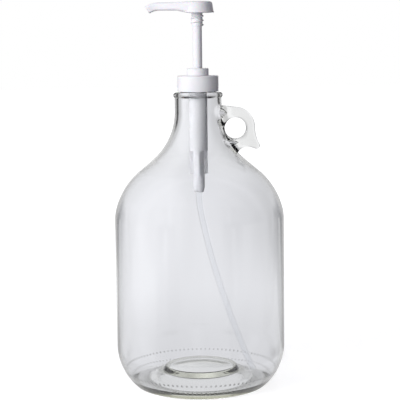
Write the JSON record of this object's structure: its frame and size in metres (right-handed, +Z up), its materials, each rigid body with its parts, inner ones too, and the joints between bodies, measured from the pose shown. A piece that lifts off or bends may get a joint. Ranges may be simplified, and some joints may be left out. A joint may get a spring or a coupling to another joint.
{
  "type": "pump oil bottle",
  "caption": "Clear glass jug with a finger loop and a screw-on white plunger pump that lifts massage oil through a curved dip tube to a long spout.",
  "frame": {"origin": "on the jug's axis, on the surface that its bearing ring stands on", "axes": "+Z up along the jug's axis, +X towards the finger loop, the spout points along -X"},
  "size_m": [0.168, 0.168, 0.3818],
  "materials": {
    "clear_glass": "clear, polished",
    "white_plastic": "moulded, semi-gloss",
    "natural_plastic": "translucent, satin",
    "spring_steel": "drawn stainless wire",
    "ball_steel": "polished stainless",
    "seal_rubber": "soft, matt"
  },
  "bodies": {
    "jug": {"glass_jug": "clear_glass"},
    "pump_body": {"pump_cylinder": "natural_plastic", "locking_collar": "white_plastic", "stem_seal": "seal_rubber", "neck_gasket": "seal_rubber", "inlet_cage": "natural_plastic", "return_spring": "spring_steel", "dip_tube": "natural_plastic"},
    "closure": {"screw_closure": "white_plastic"},
    "plunger": {"piston": "natural_plastic"},
    "head": {"pump_head": "white_plastic", "pump_stem": "white_plastic", "piston_retainer": "white_plastic"},
    "inlet_valve": {"inlet_ball": "ball_steel"},
    "outlet_valve": {"outlet_ball": "ball_steel"}
  },
  "joints": [
    {"name": "pump_lift", "type": "slide", "parent": "jug", "child": "pump_body", "axis": [0, 0, 1], "range_m": [0, 0.00529]},
    {"name": "closure_turn", "type": "hinge", "parent": "pump_body", "child": "closure", "pos_m": [0, 0, 0.302], "axis": [0, 0, 1], "range_deg": [0, 450]},
    {"name": "pump_stroke", "type": "slide", "parent": "pump_body", "child": "plunger", "axis": [0, 0, 1], "range_m": [-0.0405, 0], "stiffness_N_per_m": 350, "springref_m": 0.025, "deforming": ["return_spring"]},
    {"name": "head_swivel", "type": "hinge", "parent": "plunger", "child": "head", "pos_m": [0, 0, 0.3], "axis": [0, 0, 1], "continuous": true},
    {"name": "inlet_ball_lift", "type": "slide", "parent": "pump_body", "child": "inlet_valve", "axis": [0, 0, 1], "range_m": [0, 0.0025]},
    {"name": "outlet_ball_lift", "type": "slide", "parent": "head", "child": "outlet_valve", "axis": [0, 0, 1], "range_m": [0, 0.0025]}
  ],
  "couplings": [
    {"joint": "closure_turn", "follows": "pump_lift", "rad_per_m": 1484.3}
  ]
}
